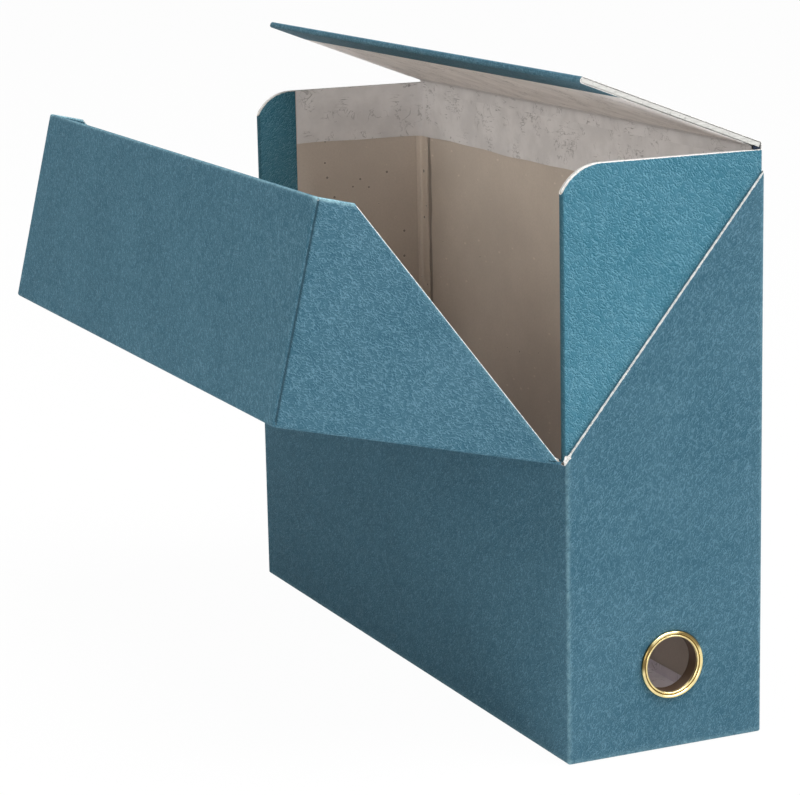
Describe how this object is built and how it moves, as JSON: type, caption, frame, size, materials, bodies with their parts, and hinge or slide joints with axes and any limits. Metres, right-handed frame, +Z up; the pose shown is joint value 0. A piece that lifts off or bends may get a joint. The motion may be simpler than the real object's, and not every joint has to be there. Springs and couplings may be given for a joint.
{
  "type": "archive box",
  "caption": "Upright storage box for loose papers in covered board: a case with full cheeks, a hinged hood that folds down in front, an inner lid and a brass-ringed finger hole in the spine.",
  "frame": {"origin": "centre of the underside of the case, on the plane it stands on", "axes": "+X across the thickness from the low front wall to the back wall, +Y along the length from the spine with the finger hole to the rear end, +Z up"},
  "size_m": [0.2188, 0.3316, 0.2828],
  "materials": {
    "teal_paper": "satin",
    "grey_board": "matte",
    "pale_lining": "matte",
    "tan_tape": "matte",
    "bright_brass": "polished"
  },
  "bodies": {
    "case": {"base_cover_paper": "teal_paper", "base_board": "grey_board", "floor_lining": "pale_lining", "back_board": "grey_board", "back_lining_band": "pale_lining", "front_board": "grey_board", "hood_fold_ply": "teal_paper", "spine_cheek_board": "grey_board", "spine_cheek_paper": "teal_paper", "spine_lining_band": "pale_lining", "spine_corner_tape": "tan_tape", "spine_shell_board": "grey_board", "rear_cheek_board": "grey_board", "rear_cheek_paper": "teal_paper", "rear_lining_band": "pale_lining", "rear_corner_tape": "tan_tape", "rear_shell_board": "grey_board", "shell_cover_paper": "teal_paper", "finger_eyelet": "bright_brass", "eyelet_washer": "bright_brass"},
    "hood": {"hood_front_board": "grey_board", "hood_top_board": "grey_board", "hood_cover_paper": "teal_paper", "hood_spine_board": "grey_board", "hood_spine_paper": "teal_paper", "hood_rear_board": "grey_board", "hood_rear_paper": "teal_paper"},
    "lid": {"lid_board": "grey_board", "lid_cover_paper": "teal_paper", "lid_lining": "pale_lining"}
  },
  "joints": [
    {"name": "hood_hinge", "type": "hinge", "parent": "case", "child": "hood", "pos_m": [-0.0484, 0, 0.1275], "axis": [0, -1, 0], "range_deg": [-76.5, 95]},
    {"name": "lid_hinge", "type": "hinge", "parent": "case", "child": "lid", "pos_m": [0.046, 0, 0.2511], "axis": [0, 1, 0], "range_deg": [-21, 159]}
  ],
  "couplings": [
    {"joint": "lid_hinge", "follows": "hood_hinge", "ratio": 0.2745}
  ]
}
